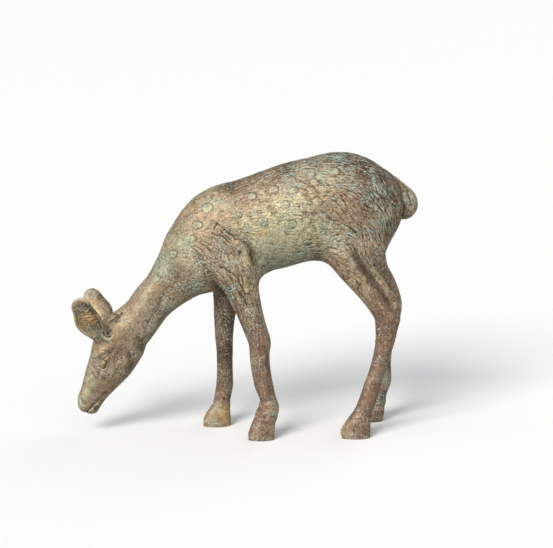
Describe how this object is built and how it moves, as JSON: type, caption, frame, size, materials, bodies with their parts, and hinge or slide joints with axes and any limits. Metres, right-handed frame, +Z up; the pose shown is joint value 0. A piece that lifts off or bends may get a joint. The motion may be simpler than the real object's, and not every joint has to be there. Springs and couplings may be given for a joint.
{
  "type": "bronze deer sculpture",
  "caption": "Grazing spotted fawn cast in bronze, head down to the grass, free-standing on its own hooves, with a worn verdigris patina.",
  "frame": {"origin": "on the ground under the middle of the overall length and width", "axes": "-X the way the fawn faces, -Y its left side, +Z up"},
  "size_m": [0.7542, 0.1749, 0.6255],
  "materials": {
    "bronze": "cast bronze, olive-tan to red-brown patina with verdigris in the hollows and rubbed high spots"
  },
  "bodies": {
    "root": {"fawn": "bronze"}
  },
  "joints": []
}
